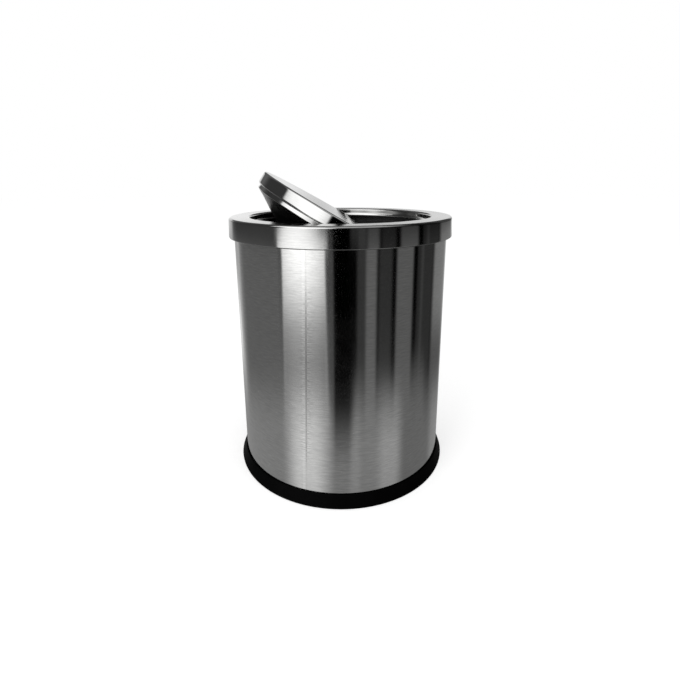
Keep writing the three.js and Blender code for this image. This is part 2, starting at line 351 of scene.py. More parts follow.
def times(tree, first, second):
    """The product of two sockets or numbers."""
    return maths(tree, "MULTIPLY", first, second)


def distance_from(tree, value, centre):
    """How far the socket's value is from centre, on either side."""
    return maths(tree, "ABSOLUTE", maths(tree, "SUBTRACT", value, centre))


def fit_range(tree, value, low, high, to_low, to_high):
    """A Map Range node from low..high to to_low..to_high, clamped."""
    node = add_node(tree, "ShaderNodeMapRange")
    tree.links.new(value, node.inputs["Value"])
    for name, number in zip(("From Min", "From Max", "To Min", "To Max"), (low, high, to_low, to_high)):
        node.inputs[name].default_value = number
    return node.outputs["Result"]


def mix_colour(tree, amount, first, second):
    """A colour that goes from first to second as the socket amount goes from 0 to 1."""
    blend = add_node(tree, "ShaderNodeMix", data_type="RGBA")
    tree.links.new(amount, blend.inputs["Factor"])
    ends = [socket for socket in blend.inputs if socket.type == "RGBA"]
    for socket, colour in zip(ends, (first, second)):
        socket.default_value = (*colour, 1)
    return next(socket for socket in blend.outputs if socket.type == "RGBA")


def new_group(name, outputs, **sizes):
    """A shader node group that reads a Place and sizes. Gives it with its inner sockets."""
    group = bpy.data.node_groups.new(name, "ShaderNodeTree")
    group.interface.new_socket("Place", in_out="INPUT", socket_type="NodeSocketVector")
    for label, value in sizes.items():
        label = label.replace("_", " ")
        socket = group.interface.new_socket(label, in_out="INPUT", socket_type="NodeSocketFloat")
        socket.default_value = value
    for label in outputs:
        group.interface.new_socket(label, in_out="OUTPUT", socket_type="NodeSocketFloat")
    return group, group.nodes.new("NodeGroupInput").outputs, group.nodes.new("NodeGroupOutput").inputs


def use_group(tree, group, **values):
    """The group as a node, with its inputs set to numbers or linked to sockets."""
    node = tree.nodes.new("ShaderNodeGroup")
    node.node_tree = group
    for name, value in values.items():
        socket = node.inputs[name.replace("_", " ")]
        if isinstance(value, bpy.types.NodeSocket):
            tree.links.new(value, socket)
        else:
            socket.default_value = value
    return node


# %% Node groups: the grain of brushing, and handling marks
HAIR_HEIGHT = 0.4
HAIR_TINT = 0.45


def stretched_noise(tree, place, length, width, detail):
    """Noise whose spots are length long along the grain and width across it."""
    parts = add_node(tree, "ShaderNodeSeparateXYZ")
    tree.links.new(place, parts.inputs[0])
    scaled = add_node(tree, "ShaderNodeCombineXYZ")
    for axis, size in zip("XYZ", (length, length, width)):
        tree.links.new(maths(tree, "DIVIDE", parts.outputs[axis], size), scaled.inputs[axis])
    noise = add_node(tree, "ShaderNodeTexNoise", Scale=1.0, Detail=detail, Roughness=0.6)
    tree.links.new(scaled.outputs[0], noise.inputs["Vector"])
    return noise.outputs["Fac"]


def brushed_grain_group():
    """Hair lines and broader bands of brushing. Tint and Height both go from 0 in a scratch to 1."""
    group, given, result = new_group(
        "brushed_grain", ("Tint", "Height"),
        Hair_Length=12 * MM, Hair_Width=0.3 * MM, Band_Length=9 * MM, Band_Width=1.1 * MM)
    hair = stretched_noise(group, given["Place"], given["Hair Length"], given["Hair Width"], 3.0)
    band = stretched_noise(group, given["Place"], given["Band Length"], given["Band Width"], 2.0)
    lines = fit_range(group, hair, 0.3, 0.7, 0.0, 1.0)
    bands = fit_range(group, band, 0.3, 0.7, 0.0, 1.0)
    for label, share in (("Tint", HAIR_TINT), ("Height", HAIR_HEIGHT)):
        both = plus(group, times(group, lines, share), times(group, bands, 1 - share))
        group.links.new(both, result[label])
    return group


def handling_group():
    """Large soft blotches, as hands and cloths leave on steel, from 0 where clean to 1."""
    group, given, result = new_group("handling_marks", ("Haze",), Size=50 * MM)
    scaled = add_node(group, "ShaderNodeVectorMath", operation="DIVIDE")
    group.links.new(given["Place"], scaled.inputs[0])
    group.links.new(given["Size"], scaled.inputs[1])
    noise = add_node(group, "ShaderNodeTexNoise", Scale=1.0, Detail=3.0, Roughness=0.55)
    group.links.new(scaled.outputs[0], noise.inputs["Vector"])
    group.links.new(fit_range(group, noise.outputs["Fac"], 0.45, 0.75, 0.0, 1.0), result["Haze"])
    return group


BRUSHED_GRAIN = brushed_grain_group()
HANDLING = handling_group()
print("node groups", BRUSHED_GRAIN.name, "and", HANDLING.name)

# %% Node group: the weld's marks
WELD_ANGLE = math.radians(-109.6)
WELD_LEAN = 0.023
WELD_LEVEL = 200 * MM
# In each of these four pairs, the mark is full up to the first distance and gone at the second.
WELD_LINE = (0.4 * MM, 1.1 * MM)
WELD_STRIP = (0.8 * MM, 2 * MM)
CHATTER_SPREAD = (2 * MM, 9 * MM)
CHATTER_TALL = (70 * MM, 100 * MM)
WELD_STRIP_PLACE = -2.5 * MM
CHATTER_LEVEL = 135 * MM
CHATTER_MARK = (6 * MM, 0.9 * MM)  # length round the bin, height
LINE_SHADE = -0.42
STRIP_SHADE = 0.09
CHATTER_SHADE = 0.2


def weld_marks_group():
    """A dark line down the weld, a lighter strip to its left, and short chatter marks beside it.

    Place is a point in metres. Its distance from the weld is (atan2(y, x) - WELD_ANGLE) * radius, less
    WELD_LEAN for each unit above WELD_LEVEL, because the sheet was rolled a little askew. Shade is a
    factor for the steel's colour, 1 away from the weld.
    """
    group, given, result = new_group("weld_marks", ("Shade",))
    parts = add_node(group, "ShaderNodeSeparateXYZ")
    group.links.new(given["Place"], parts.inputs[0])
    turn = maths(group, "ARCTAN2", parts.outputs["Y"], parts.outputs["X"])
    turned = times(group, maths(group, "SUBTRACT", turn, WELD_ANGLE), BODY_RADIUS)
    above = maths(group, "SUBTRACT", parts.outputs["Z"], WELD_LEVEL)
    across = maths(group, "SUBTRACT", turned, times(group, above, WELD_LEAN))
    away = distance_from(group, across, 0.0)
    line = fit_range(group, away, *WELD_LINE, 1.0, 0.0)
    strip = fit_range(group, distance_from(group, across, WELD_STRIP_PLACE), *WELD_STRIP, 1.0, 0.0)
    near = fit_range(group, away, *CHATTER_SPREAD, 1.0, 0.0)
    tall = fit_range(group, distance_from(group, parts.outputs["Z"], CHATTER_LEVEL), *CHATTER_TALL, 1.0, 0.2)
    chatter = stretched_noise(group, given["Place"], *CHATTER_MARK, 1.0)
    beat = times(group, fit_range(group, chatter, 0.35, 0.65, -1.0, 1.0), near)
    broken = times(group, fit_range(group, chatter, 0.38, 0.62, 0.0, 1.4), line)
    marks = plus(group, times(group, broken, LINE_SHADE), times(group, beat, CHATTER_SHADE))
    total = plus(group, times(group, marks, tall), times(group, strip, STRIP_SHADE))
    group.links.new(plus(group, total, 1.0), result["Shade"])
    return group


WELD_MARKS = weld_marks_group()
print("weld at", round(math.degrees(WELD_ANGLE), 1), "degrees from the bin's right side")

# %% Helpers for finishes
def new_finish(name, **constants):
    """A material with numbers set on its Principled shader. Gives the material, tree and shader."""
    print("finish", name)
    material = bpy.data.materials.new(name)
    material.use_nodes = True
    shader = material.node_tree.nodes["Principled BSDF"]
    for label, value in constants.items():
        shader.inputs[label.replace("_", " ")].default_value = value
    return material, material.node_tree, shader


def add_relief(tree, shader, height, depth):
    """A bump of the given depth in metres, where the height socket goes from 0 to 1."""
    relief = add_node(tree, "ShaderNodeBump", Strength=1.0, Distance=depth)
    tree.links.new(height, relief.inputs["Height"])
    tree.links.new(relief.outputs[0], shader.inputs["Normal"])


def grey(level, blue=0.0):
    """A grey colour with a little more or less blue."""
    return level, level, level + blue


# %% Brushed steel
SCRATCH_DEPTH = 0.003 * MM
HAND_SIZE = 45 * MM
HAZE_ROUGHNESS = 0.03


def brushed_steel(name, dark, light, roughness=(0.09, 0.13), stretch=0.85, weld=False):
    """Brushed steel: the colour goes from dark in the scratches to light between them."""
    material, tree, shader = new_finish(name, Metallic=1.0, Anisotropic=stretch, Anisotropic_Rotation=0.25)
    tangent = add_node(tree, "ShaderNodeTangent", direction_type="UV_MAP", uv_map="brushing")
    tree.links.new(tangent.outputs[0], shader.inputs["Tangent"])
    place = add_node(tree, "ShaderNodeAttribute", attribute_name="grain")
    grain = use_group(tree, BRUSHED_GRAIN, Place=place.outputs["Vector"]).outputs
    spot = add_node(tree, "ShaderNodeTexCoord").outputs["Object"]
    haze = use_group(tree, HANDLING, Place=spot, Size=HAND_SIZE).outputs["Haze"]
    tint = mix_colour(tree, grain["Tint"], dark, light)
    if weld:
        marked = add_node(tree, "ShaderNodeVectorMath", operation="SCALE")
        tree.links.new(tint, marked.inputs[0])
        tree.links.new(use_group(tree, WELD_MARKS, Place=spot).outputs["Shade"], marked.inputs["Scale"])
        tint = marked.outputs[0]
    tree.links.new(tint, shader.inputs["Base Color"])
    rough = fit_range(tree, grain["Tint"], 0.0, 1.0, roughness[1], roughness[0])
    tree.links.new(plus(tree, rough, times(tree, haze, HAZE_ROUGHNESS)), shader.inputs["Roughness"])
    add_relief(tree, shader, grain["Height"], SCRATCH_DEPTH)
    return material


body_steel = brushed_steel("body_steel", grey(0.53, -0.005), grey(0.71, -0.01), weld=True)
cap_steel = brushed_steel("cap_steel", grey(0.57, -0.005), grey(0.68, -0.01))
lid_steel = brushed_steel("lid_steel", grey(0.58, -0.005), grey(0.69, -0.01), (0.045, 0.07))
# The dark colour of this finish is painted shade; only its higher roughness is the real unpolished sheet.
dull_shaded_steel = brushed_steel("dull_shaded_steel", grey(0.14, -0.002), grey(0.2, -0.002), (0.26, 0.32), 0.5)
bottom_steel = brushed_steel("bottom_steel", grey(0.42, -0.01), grey(0.52, -0.01), (0.38, 0.5), 0.4)

# %% [markdown]
# ## Black plastic and small steel
#
# The base ring and the bucket are moulded plastic. A mould leaves a fine even texture, which
# breaks up reflections, so the plastic has a small noise bump and a roughness that varies a
# little. It is not pure black: dust and light scrapes lift it in places.

# %% Moulded plastic and plain small metal
MOULD_DEPTH = 0.04 * MM
DUST_SIZE = 30 * MM
RUB_SIZE = 2 * MM


def moulded_plastic(name, colour, dust, roughness, specular, texture=0.6 * MM):
    """Moulded plastic with a fine texture, and dust in soft patches."""
    material, tree, shader = new_finish(name, Specular_IOR_Level=specular)
    spot = add_node(tree, "ShaderNodeTexCoord").outputs["Object"]
    haze = use_group(tree, HANDLING, Place=spot, Size=DUST_SIZE).outputs["Haze"]
    noise = add_node(tree, "ShaderNodeTexNoise", Scale=1 / texture, Detail=2.0)
    tree.links.new(spot, noise.inputs["Vector"])
    fine = noise.outputs["Fac"]
    tree.links.new(mix_colour(tree, times(tree, haze, fine), colour, dust), shader.inputs["Base Color"])
    rough = fit_range(tree, fine, 0.3, 0.7, roughness - 0.05, roughness + 0.07)
    tree.links.new(rough, shader.inputs["Roughness"])
    add_relief(tree, shader, fine, MOULD_DEPTH)
    return material


def turned_metal(name, dark, light, roughness):
    """Small turned or stamped steel, darker and duller where it is rubbed."""
    material, tree, shader = new_finish(name, Metallic=1.0)
    spot = add_node(tree, "ShaderNodeTexCoord").outputs["Object"]
    haze = use_group(tree, HANDLING, Place=spot, Size=RUB_SIZE).outputs["Haze"]
    tree.links.new(mix_colour(tree, haze, light, dark), shader.inputs["Base Color"])
    rough = fit_range(tree, haze, 0.0, 1.0, roughness, roughness + 0.12)
    tree.links.new(rough, shader.inputs["Roughness"])
    return material


base_plastic = moulded_plastic("base_plastic", grey(0.001), grey(0.003), 0.5, 0.04)
bucket_plastic = moulded_plastic("bucket_plastic", grey(0.05, 0.001), grey(0.07), 0.45, 0.35)
bush_nylon = moulded_plastic("bush_nylon", grey(0.05, 0.002), grey(0.08), 0.45, 0.4, 0.3 * MM)
pivot_steel = turned_metal("pivot_steel", grey(0.5, -0.01), grey(0.74, -0.01), 0.22)

# %% [markdown]
# ## The outer body
#
# A steel strip is rolled into a tube and welded down one side, and its top edge is rolled inwards
# into a bead. The weld is ground almost flush, but a shallow groove and a changed shine stay. Thin
# sheet is never truly round either: it waves by a few hundredths of a millimetre, which is enough
# to bend the reflections. Both are worked into the surface as small moves inwards.

# %% Outer body
BODY_HEM = 1.5 * MM
HEM_TAIL = 1.5 * MM
WELD_DEPTH = 0.02 * MM
WELD_WIDTH = 0.7 * MM
WELD_NEAREST = 0.15 * MM
WELD_FURTHEST = 4 * MM
WAVE_DEPTH = 0.03 * MM


def body_path():
    """From the bead's tail inside the rim, over the bead and down the wall to the foot."""
    hem_z = body_high.z - BODY_HEM
    tail = (BODY_RADIUS - 2 * BODY_HEM, hem_z - HEM_TAIL)
    return outline_of(
        tail,
        arc(BODY_RADIUS - BODY_HEM, hem_z, BODY_HEM, 180, 0, 14),
        straight((BODY_RADIUS, hem_z), (BODY_RADIUS, body_low.z), 40))


def weld_ring(columns):
    """Angles once round from the weld, closer together beside it."""
    even = ring(columns, WELD_ANGLE)
    beside = np.geomspace(WELD_NEAREST, WELD_FURTHEST, 9) / BODY_RADIUS
    return np.sort(np.concatenate([even, WELD_ANGLE + beside, WELD_ANGLE + 2 * math.pi - beside]))


def body_relief(angle, height):
    """How far the wall lies inside the true cylinder, from the angle a and the height z in metres.

    The waves are sin(3a + 25z) sin(18z + 1) + 0.6 sin(7a - 14z), and the groove at the weld is the
    bell curve exp(-(d / WELD_WIDTH)^2) of the distance d to it.
    """
    wave = np.sin(3 * angle + 25 * height) * np.sin(18 * height + 1) + 0.6 * np.sin(7 * angle - 14 * height)
    turned = (angle - WELD_ANGLE + math.pi) % (2 * math.pi) - math.pi
    groove = np.exp(-((turned * BODY_RADIUS / WELD_WIDTH) ** 2))
    return WAVE_DEPTH * (0.5 + 0.3 * wave) + WELD_DEPTH * groove


def outer_body():
    """The turned outline, moved inwards by the relief and leaned round the axis along the weld."""
    outline = sheet_outline(body_path())
    points, faces, around, radius, along = revolve(outline, weld_ring(WALL_COLUMNS))
    x, y, z = points.T
    angle = np.arctan2(y, x)
    reach = np.hypot(x, y) - body_relief(angle, z)
    leaned = angle + WELD_LEAN * (z - WELD_LEVEL) / BODY_RADIUS
    points = np.column_stack([reach * np.cos(leaned), reach * np.sin(leaned), z])
    return make_piece("steel_body", points, faces, *around_maps(around, radius, along))


place_piece(outer_body(), "body", "outer_body", body_steel)

# %% [markdown]
# ## The cap
#
# The cap is one pressing: a collar turned down into the opening, a flat top, a rounded edge and a
# skirt whose lower edge is folded in and up until it just clears the body. Under the fold the sheet
# is unpolished and rougher, and its dark colour there is painted shade.

# %% Cap sizes
CAP_FOLD = 1.1 * MM
CAP_FOLD_WIDTH = 4.8 * MM
CAP_FLARE = 0.6 * MM
CAP_EDGE = 2.5 * MM
CAP_TOP_WIDTH = 22.6 * MM
CAP_SHADE_RISE = 0.75 * MM
COLLAR_DEPTH = 9 * MM
COLLAR_EDGE = 2.2 * MM
COLLAR_HEM = 0.9 * MM
COLLAR_SWEEP = 0.6 * MM
COLLAR_SWEEP_HEIGHT = 2.6 * MM
CAP_RADIUS = CAP_FOOT_RADIUS - CAP_FLARE
OPENING_RADIUS = CAP_RADIUS - CAP_TOP_WIDTH
print("cap radius", round(CAP_RADIUS, 4), "opening radius", round(OPENING_RADIUS, 4))


# %% Cap ring
def collar_sweep(low_r, low_z):
    """The collar's wall leans in towards its foot: r = low_r + COLLAR_SWEEP * (1 - (1 - t)^2)."""
    t = np.linspace(0, 1, 9)
    return np.column_stack([low_r + COLLAR_SWEEP * (1 - (1 - t) ** 2), low_z + COLLAR_SWEEP_HEIGHT * t])


def cap_path():
    """From the collar's rolled edge up, over the top and down the skirt to its fold."""
    foot = arc(OPENING_RADIUS + COLLAR_HEM, CAP_TOP - COLLAR_DEPTH + COLLAR_HEM, COLLAR_HEM, 330, 155, 10)
    sweep = collar_sweep(*foot[-1])
    bend_r = sweep[-1, 0] + COLLAR_EDGE
    edge_r = CAP_RADIUS - CAP_EDGE
    fold_z = cap_low.z + CAP_FOLD
    tail_r = CAP_FOOT_RADIUS - CAP_FOLD_WIDTH
    return outline_of(
        foot, sweep,
        arc(bend_r, CAP_TOP - COLLAR_EDGE, COLLAR_EDGE, 180, 90, 10),
        straight((bend_r, CAP_TOP), (edge_r, CAP_TOP), 6),
        arc(edge_r, CAP_TOP - CAP_EDGE, CAP_EDGE, 90, 0, 12),
        straight((CAP_RADIUS, CAP_TOP - CAP_EDGE), (CAP_FOOT_RADIUS, fold_z), 8),
        arc(CAP_FOOT_RADIUS - CAP_FOLD, fold_z, CAP_FOLD, 0, -90, 8),
        arc(tail_r + CAP_FOLD, fold_z, CAP_FOLD, -90, -180, 8),
        (tail_r, fold_z + HEM_TAIL))


cap = turned_piece("steel_cap", sheet_outline(cap_path()), WALL_COLUMNS, BACK)
place_piece(cap, "cap", "cap_ring", cap_steel)
# The fold's underside takes the dark finish: painted shade under the fold.
paint_shade_below(cap, cap_low.z + CAP_SHADE_RISE)

# %% [markdown]
# ## The base ring
#
# A black moulding with a flared skirt. The body's foot stands in a channel between the skirt and
# an inner wall, and ribs stiffen the pocket under the channel.

# %% Base ring
BASE_LIP = 1.2 * MM
BASE_WALL = 1.8 * MM
BASE_FOOT = 1.2 * MM
BASE_WEB = 3.2 * MM
BASE_INNER = 2 * MM
FOOT_ROUND = 0.4 * MM
INNER_ROUND = 0.7 * MM
RIB_COUNT = 24
RIB_THICKNESS = 1.6 * MM
RIB_LIFT = 0.6 * MM
RIB_REACH = 2.5 * MM
RIB_SINK = 0.3 * MM
PANEL_RISE = 3 * MM


def base_outline():
    """The ring's section, drawn so that the moulding is always on the right of the way."""
    foot_r = base_high.x
    lip_in = BODY_RADIUS + SEAT_GAP
    lip_r = lip_in + BASE_LIP / 2
    skirt_in = foot_r - BASE_WALL
    channel_in = BODY_RADIUS - 2 * (SHEET + SEAT_GAP)
    ring_in = channel_in - BASE_INNER
    inner_top = panel_high.z - PANEL_RISE - SHEET - SEAT_GAP
    floor_z = body_low.z - SEAT_GAP
    return outline_of(
        (channel_in, floor_z), (lip_in, floor_z),
        arc(lip_r, BASE_TOP - BASE_LIP / 2, BASE_LIP / 2, 180, 15, 8),
        arc(foot_r - BASE_FOOT, BASE_FOOT, BASE_FOOT, 12, -90, 8),
        arc(skirt_in + FOOT_ROUND, FOOT_ROUND, FOOT_ROUND, 270, 180, 3),
        (skirt_in, BASE_WEB), (channel_in, BASE_WEB),
        arc(channel_in - FOOT_ROUND, FOOT_ROUND, FOOT_ROUND, 0, -90, 3),
        arc(ring_in + FOOT_ROUND, FOOT_ROUND, FOOT_ROUND, 270, 180, 3),
        arc(ring_in + INNER_ROUND, inner_top - INNER_ROUND, INNER_ROUND, 180, 90, 4),
        arc(channel_in - INNER_ROUND, inner_top - INNER_ROUND, INNER_ROUND, 90, 0, 4))


def rib_boxes(inner, outer, low, high):
    """RIB_COUNT boxes that stand on the radii: eight corners, turned by an even angle each."""
    unit = np.array([[x, y, z] for x in (0, 1) for y in (-0.5, 0.5) for z in (0, 1)], float)
    box = unit * (outer - inner, RIB_THICKNESS, high - low) + (inner, 0, low)
    turn = (np.arange(RIB_COUNT) + 0.5) / RIB_COUNT * 2 * math.pi
    cos, sin = np.cos(turn)[:, None], np.sin(turn)[:, None]
    x, y = box[:, 0] * cos - box[:, 1] * sin, box[:, 0] * sin + box[:, 1] * cos
    points = np.stack([x, y, np.broadcast_to(box[:, 2], x.shape)], axis=2).reshape(-1, 3)
    sides = np.array([[0, 1, 3, 2], [4, 6, 7, 5], [0, 4, 5, 1], [2, 3, 7, 6], [0, 2, 6, 4], [1, 5, 7, 3]])
    return points, (sides + 8 * np.arange(RIB_COUNT)[:, None, None]).reshape(-1, 4)


def base_ring():
    """The turned outline and the ribs, whose ends are sunk into the skirt and the web."""
    outline = support(base_outline(), closed=True)
    points, faces, around, radius, along = revolve(outline, ring(WALL_COLUMNS))
    uv, grain = around_maps(around, radius, along)
    rib_in, rib_out = BODY_RADIUS - RIB_REACH, base_high.x - BASE_WALL + RIB_SINK
    ribs, rib_faces = rib_boxes(rib_in, rib_out, RIB_LIFT, BASE_WEB + RIB_SINK)
    flat = np.zeros((len(rib_faces), 4, 1))
    return make_piece(
        "moulded_base_ring", np.vstack([points, ribs]), np.vstack([faces, rib_faces + len(points)]),
        np.concatenate([uv, np.repeat(flat, 2, axis=2)]), np.concatenate([grain, np.repeat(flat, 3, axis=2)]))


place_piece(base_ring(), "body", "base_ring", base_plastic)

# %% [markdown]
# ## The bottom panel
#
# A pressed disc that closes the body's foot: a flange, a flat border and a raised middle.

# %% Bottom panel
PANEL_COLUMNS = 192
PANEL_HUB = 20 * MM
PANEL_BORDER = 18 * MM
PANEL_SLOPE = 45
PANEL_SOFT = 1.5 * MM
PANEL_BEND = 2 * MM


def panel_path():
    """From the middle out over the raised part, down its slope, over the border and the flange."""
    edge = panel_high.x
    top = panel_high.z
    start = edge - PANEL_BORDER
    crown = start - PANEL_RISE - PANEL_SOFT
    foot_z = top - PANEL_RISE + PANEL_SOFT
    return outline_of(
        (0, top), straight((PANEL_HUB, top), (crown, top), 3),
        arc(crown, top - PANEL_SOFT, PANEL_SOFT, 90, PANEL_SLOPE, 4),
        arc(start + PANEL_SOFT, foot_z, PANEL_SOFT, 180 + PANEL_SLOPE, 270, 4),
        arc(edge - PANEL_BEND, top - PANEL_RISE - PANEL_BEND, PANEL_BEND, 90, 0, 8),
        (edge, panel_low.z))


panel = turned_piece("pressed_bottom_panel", sheet_outline(panel_path()), PANEL_COLUMNS, closed=False)
place_piece(panel, "body", "bottom_panel", bottom_steel)

# %% [markdown]
# ## The inner bucket
#
# The bucket hangs by its flange on the body's bead. Its neck fits inside the bead, a step below it
# leaves room for fingertips, and two round-ended hand holes lift it. A hole in a revolved wall
# breaks the grid, so a rectangle of the grid is left out round each hole and filled with rings of
# points that go from the rectangle to the hole. The wall is one surface, and a Solidify modifier
# gives it its thickness.

# %% Bucket sizes
BUCKET_WALL = 1.6 * MM
BUCKET_RIM_BEND = 1.6 * MM
BUCKET_NECK = 16.5 * MM
BUCKET_STEP = 7 * MM
BUCKET_STEP_HEIGHT = 4 * MM
BUCKET_SOFT = 1.2 * MM
BUCKET_DRAFT = math.radians(1.8)
BUCKET_FLOOR_BEND = 8 * MM
BUCKET_FLOOR_RINGS = (30 * MM, 60 * MM)
BUCKET_EDGE = 0.35 * MM
BUCKET_COLUMNS = 192
COLUMN_TURN = 2 * math.pi / BUCKET_COLUMNS
HOLE_WIDTH = 70 * MM
HOLE_HEIGHT = 20 * MM
HOLE_DROP = 12 * MM
HOLE_MARGIN = 5 * MM
HOLE_RINGS = 6
HOLE_CROWDING = 0.8


# %% Bucket outline
def bucket_path():
    """From the middle of the floor out, up the wall, over the step and neck to the flange.

    The wall's radius grows by tan(BUCKET_DRAFT) for each unit of height. Also gives the rows that
    bound the hand holes.
    """
    neck_r = BODY_RADIUS - 2 * BODY_HEM - SEAT_GAP - BUCKET_WALL
    wall_r = neck_r - BUCKET_STEP
    neck_z = BUCKET_TOP - BUCKET_NECK
    wall_z = neck_z - BUCKET_STEP_HEIGHT
    floor_z = bucket_low.z + BUCKET_WALL
    hole_high = wall_z - HOLE_DROP + HOLE_MARGIN
    hole_low = wall_z - HOLE_DROP - HOLE_HEIGHT - HOLE_MARGIN

    def on_wall(z):
        return (wall_r - (wall_z - z) * math.tan(BUCKET_DRAFT), z)

    bend_top = floor_z + BUCKET_FLOOR_BEND
    bend = arc(on_wall(floor_z)[0] - BUCKET_FLOOR_BEND, bend_top, BUCKET_FLOOR_BEND, -90, 0, 8)
    lower = outline_of((0, floor_z), *[(r, floor_z) for r in BUCKET_FLOOR_RINGS], bend[:-1],
                       straight(on_wall(bend_top), on_wall(hole_low), 10))
    hole = straight(on_wall(hole_low), on_wall(hole_high), 10)[1:]
    slope = math.degrees(math.atan2(BUCKET_STEP_HEIGHT, BUCKET_STEP))
    upper = outline_of(
        straight(hole[-1], on_wall(wall_z - BUCKET_SOFT), 2)[1:],
        arc(wall_r + BUCKET_SOFT, wall_z - BUCKET_SOFT, BUCKET_SOFT, 180, 90 + slope, 5),
        arc(neck_r - BUCKET_SOFT, neck_z + BUCKET_SOFT, BUCKET_SOFT, -90 + slope, 0, 5),
        straight((neck_r, neck_z + BUCKET_SOFT), (neck_r, BUCKET_TOP - BUCKET_RIM_BEND), 3),
        arc(neck_r + BUCKET_RIM_BEND, BUCKET_TOP - BUCKET_RIM_BEND, BUCKET_RIM_BEND, 180, 90, 6),
        (BODY_RADIUS, BUCKET_TOP))
    return np.vstack([lower, hole, upper]), len(lower) - 1, len(lower) - 1 + len(hole)


# %% Hand holes
def nearest_on_slot(across, up):
    """The nearest point of a round-ended slot.

    The point is clamped to the slot's middle line, and a radius is stepped from there towards it.
    """
    radius = HOLE_HEIGHT / 2
    half = HOLE_WIDTH / 2 - radius
    centre = np.clip(across, -half, half)
    away = np.stack([across - centre, up], axis=-1)
    away /= np.linalg.norm(away, axis=-1, keepdims=True)
    return centre + radius * away[..., 0], radius * away[..., 1]


def hole_rings(wall, middle, columns):
    """Rings of points from a rectangle of the wall to the hole: their angle, radius and height.

    wall holds the rows (r, z) beside the hole. A place on ring k has gone (k / HOLE_RINGS) to the
    power HOLE_CROWDING of its way to the slot, and the first ring is the rectangle itself.
    """
    reach, height = wall.T
    rows = len(wall) - 1
    half = columns / 2 * COLUMN_TURN
    angle = np.linspace(-half, half, columns + 1)
    foot, top = np.full(columns, height[0]), np.full(columns, height[-1])
    turn = np.concatenate([angle[:-1], np.full(rows, half), angle[:0:-1], np.full(rows, -half)])
    level = np.concatenate([foot, height[:-1], top, height[:0:-1]])
    centre = (height[0] + height[-1]) / 2
    centre_r = np.interp(centre, height, reach)
    hole_x, hole_z = nearest_on_slot(turn * centre_r, level - centre)
    share = np.linspace(0, 1, HOLE_RINGS + 1)[:, None] ** HOLE_CROWDING
    all_turn = turn + (hole_x / centre_r - turn) * share + middle
    all_z = level + (hole_z + centre - level) * share
    return all_turn, np.interp(all_z, height, reach), all_z


def hole_patch(wall, middle, columns, first):
    """The rings of one hole as points, faces and maps. The points are numbered from first."""
    turn, reach, level = hole_rings(wall, middle, columns)
    points = np.stack([reach * np.cos(turn), reach * np.sin(turn), level], axis=2).reshape(-1, 3)
    rings, places = turn.shape
    i, j = np.divmod(np.arange((rings - 1) * places), places)
    quad_i = np.stack([i + 1, i + 1, i, i], axis=1)
    quad_j = np.stack([j, j + 1, j + 1, j], axis=1) % places
    maps = around_maps(*[values[quad_i, quad_j] for values in (turn, reach, level)])
    return points, quad_i * places + quad_j + first, *maps


# %% Inner bucket
def bucket_wall():
    """The turned path without the two rectangles, and a patch of rings in the place of each."""
    path, low_row, high_row = bucket_path()
    points, faces, around, radius, along = revolve(path, ring(BUCKET_COLUMNS, BACK), closed=False)
    row, column = np.divmod(np.arange(len(faces)), BUCKET_COLUMNS)
    columns = 2 * round((HOLE_WIDTH / 2 + HOLE_MARGIN) / BODY_RADIUS / COLUMN_TURN) + 4
    kept = np.ones(len(faces), bool)
    patches, count = [], len(points)
    for middle in (math.pi, 2 * math.pi):
        beside = np.abs(column + 0.5 - (middle - BACK) / COLUMN_TURN) < columns / 2
        kept &= ~(beside & (row >= low_row) & (row < high_row))
        patches.append(hole_patch(path[low_row:high_row + 1], middle, columns, count))
        count += len(patches[-1][0])
    wall = points, faces[kept], *around_maps(around[kept], radius[kept], along[kept])
    return make_piece("moulded_bucket", *[np.concatenate(parts) for parts in zip(wall, *patches)])


def inner_bucket():
    """The bucket's wall with its thickness, and small rounds on its edges."""
    piece = bucket_wall()
    wall = piece.modifiers.new("wall", "SOLIDIFY")
    wall.thickness = BUCKET_WALL
    wall.offset = -1
    wall.use_even_offset = True
    edge = piece.modifiers.new("edges", "BEVEL")
    edge.width = BUCKET_EDGE
    edge.segments = 2
    edge.limit_method = "ANGLE"
    edge.angle_limit = math.radians(50)
    edge.harden_normals = True
    return piece


place_piece(inner_bucket(), "bucket", "inner_bucket", bucket_plastic)

# %% [markdown]
# ## The swing lid
#
# Two pressed shells make the lid. The upper one is a flat disc with a deep band, brushed straight
# across its top. The lower one has a spigot that fits inside the band's rolled edge, a thin band of
# its own and a deep cone, whose weight swings the lid level again. Both are drawn level about the
# pivot axis and then turned open, mesh and all, as the lid stands in the photograph.

# %% Lid sizes
LID_TILT = math.radians(30)
PIVOT_DEPTH = CAP_TOP - PIVOT_HEIGHT
LID_CLEARANCE = 1.6 * MM
LID_RADIUS = OPENING_RADIUS - LID_CLEARANCE
LID_BAND = 12.9 * MM
LID_BAND_FLARE = 0.7 * MM
LID_EDGE = 2 * MM
LID_HEM = 1.4 * MM
LID_HUB = 10 * MM
LID_MAP_EDGE = 0.5 * MM
LID_SHADE_MARGIN = 0.2 * MM
SPIGOT = 4 * MM
LOWER_BAND = 4.6 * MM
LOWER_BAND_FLARE = 1.2 * MM
LOWER_BAND_SOFT = 0.5 * MM
PAN_SHOULDER = 7 * MM
PAN_SHOULDER_ANGLE = math.radians(30)
PAN_WALL_ANGLE = 36
PAN_DEPTH = 52 * MM
PAN_BEND = 8 * MM
PAN_BEAD = 12 * MM
PAN_BEAD_RISE = 1.5 * MM


def open_lid(piece):
    """Turns a mesh that is drawn level about the pivot axis to the lid's open place, about Y."""
    cos, sin = math.cos(LID_TILT), math.sin(LID_TILT)
    turn = np.array([[cos, 0, -sin], [0, 1, 0], [sin, 0, cos]])
    return move_points(piece, lambda points: points @ turn + (0, 0, PIVOT_HEIGHT))


print("lid radius", round(LID_RADIUS, 4), "opened by", round(math.degrees(LID_TILT)), "degrees")


